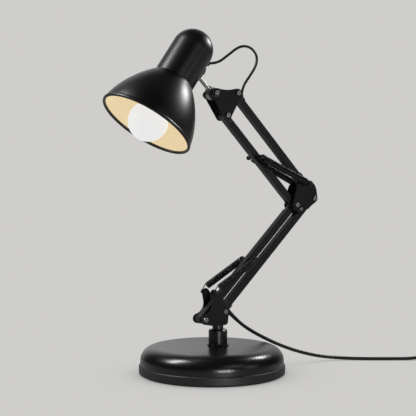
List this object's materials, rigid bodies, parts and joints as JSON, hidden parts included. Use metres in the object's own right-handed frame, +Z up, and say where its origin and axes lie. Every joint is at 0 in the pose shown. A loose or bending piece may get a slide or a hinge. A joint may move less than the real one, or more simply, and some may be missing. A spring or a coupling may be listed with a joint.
{
  "type": "architect lamp",
  "caption": "Spring-balanced architect desk lamp: weighted round base, two parallelogram arms, elbow, tilting bell shade, bulb and mains cord.",
  "frame": {"origin": "centre of the round base on the table", "axes": "+Z up from the table; the arms lie in the X-Z plane, the shade towards -X, the elbow and the cord towards +X; -Y is the side of the bolt heads"},
  "size_m": [0.7166, 0.213, 0.4989],
  "materials": {
    "black_paint": "gloss black paint",
    "black_tube": "satin black paint on square steel tube",
    "black_plastic": "moulded black plastic",
    "switch_black": "polished black plastic",
    "cast_iron": "raw casting",
    "foam_pad": "soft foam",
    "black_post": "black painted turning",
    "bright_steel": "bright zinc plate",
    "strap_steel": "black paint",
    "spring_steel": "dark spring wire",
    "cord_black": "black cord sheath",
    "moulded_rubber": "moulded black rubber",
    "blade_brass": "bare brass",
    "opal_glass": "opal white",
    "bulb_plastic": "white bulb housing",
    "bulb_metal": "rolled screw shell"
  },
  "bodies": {
    "base": {"base_pad": "foam_pad", "base_pan": "black_paint", "base_cover": "black_paint", "base_weight": "cast_iron", "base_fasteners": "bright_steel", "post_socket": "black_post", "mains_lead": "cord_black", "mains_link": "cord_black", "cord_coil": "cord_black", "mains_tail": "cord_black", "coil_tie": "black_plastic", "plug_body": "moulded_rubber", "plug_blades": "blade_brass", "switch_top": "black_plastic", "switch_bottom": "black_plastic"},
    "lower_bracket": {"lower_bracket": "black_paint", "post_pin": "bright_steel", "lower_fasteners": "bright_steel", "lower_spacers": "black_plastic", "lower_ear_pins": "bright_steel", "lower_spring_near": "spring_steel", "lower_spring_far": "spring_steel"},
    "lower_rear_arm": {"lower_rear_tube": "black_tube", "lower_rear_ferrules": "black_plastic", "lower_lead": "cord_black"},
    "lower_front_arm": {"lower_front_tube": "black_tube", "lower_front_ferrules": "black_plastic", "lower_spring_stud": "bright_steel"},
    "elbow": {"elbow_plates": "black_paint", "elbow_fasteners": "bright_steel", "elbow_spacers": "black_plastic", "elbow_lead": "cord_black", "upper_spring_near": "spring_steel", "upper_spring_far": "spring_steel"},
    "upper_rear_arm": {"upper_rear_tube": "black_tube", "upper_rear_ferrules": "black_plastic", "upper_lead": "cord_black"},
    "upper_front_arm": {"upper_front_tube": "black_tube", "upper_front_ferrules": "black_plastic", "upper_spring_stud": "bright_steel"},
    "head_bracket": {"head_plates": "black_paint", "head_fasteners": "bright_steel", "head_spacers": "black_plastic", "tilt_bolt": "bright_steel"},
    "thumb_nut": {"tilt_thumb_nut": "bright_steel"},
    "head": {"head_stem": "bright_steel", "head_strap": "strap_steel", "strap_rivets": "bright_steel", "cap": "black_paint", "shade": "black_paint", "shade_ring": "black_plastic", "lampholder": "black_plastic", "lampholder_contacts": "blade_brass", "bulb_globe": "opal_glass", "bulb_neck": "bulb_plastic", "bulb_base": "bulb_metal", "cap_grommet": "moulded_rubber", "head_lead": "cord_black"},
    "rocker": {"switch_rocker": "switch_black"}
  },
  "joints": [
    {"name": "base_swivel", "type": "hinge", "parent": "base", "child": "lower_bracket", "pos_m": [0.01, 0, 0.0635], "axis": [0, 0, 1], "range_deg": [-90, 90], "deforming": ["mains_lead"]},
    {"name": "lower_arm", "type": "hinge", "parent": "lower_bracket", "child": "lower_rear_arm", "pos_m": [0.015, 0, 0.09], "axis": [0, -1, 0], "range_deg": [-1, 38], "deforming": ["lower_spring_near", "lower_spring_far", "mains_lead"]},
    {"name": "lower_front", "type": "hinge", "parent": "lower_bracket", "child": "lower_front_arm", "pos_m": [-0.0179, 0, 0.07994], "axis": [0, -1, 0], "range_deg": [-1.5, 38.5], "deforming": ["lower_spring_near", "lower_spring_far"]},
    {"name": "elbow_follow", "type": "hinge", "parent": "lower_rear_arm", "child": "elbow", "pos_m": [0.17682, 0, 0.25583], "axis": [0, -1, 0], "range_deg": [-38.5, 1.5], "deforming": ["elbow_lead"]},
    {"name": "upper_arm", "type": "hinge", "parent": "elbow", "child": "upper_rear_arm", "pos_m": [0.16185, 0, 0.27905], "axis": [0, -1, 0], "range_deg": [-35, 40], "deforming": ["upper_spring_near", "upper_spring_far", "elbow_lead"]},
    {"name": "upper_front", "type": "hinge", "parent": "elbow", "child": "upper_front_arm", "pos_m": [0.14393, 0, 0.24577], "axis": [0, -1, 0], "range_deg": [-35.5, 40.5], "deforming": ["upper_spring_near", "upper_spring_far"]},
    {"name": "head_follow", "type": "hinge", "parent": "upper_rear_arm", "child": "head_bracket", "pos_m": [0.0378, 0, 0.40976], "axis": [0, -1, 0], "range_deg": [-40.5, 35.5], "deforming": ["head_lead"]},
    {"name": "head_tilt", "type": "hinge", "parent": "head_bracket", "child": "head", "pos_m": [0.00016, 0, 0.40766], "axis": [0, -1, 0], "range_deg": [-45, 40], "deforming": ["head_lead"]},
    {"name": "thumb_nut_turn", "type": "hinge", "parent": "head_bracket", "child": "thumb_nut", "pos_m": [0.00016, 0, 0.40766], "axis": [0, 1, 0], "continuous": true},
    {"name": "rocker_tilt", "type": "hinge", "parent": "base", "child": "rocker", "pos_m": [0.41092, -0.079, 0.0118], "axis": [0, -1, 0], "range_deg": [-5, 5]}
  ],
  "couplings": [
    {"joint": "lower_front", "follows": "lower_arm", "ratio": 1},
    {"joint": "elbow_follow", "follows": "lower_arm", "ratio": -1},
    {"joint": "upper_front", "follows": "upper_arm", "ratio": 1},
    {"joint": "head_follow", "follows": "upper_arm", "ratio": -1}
  ]
}
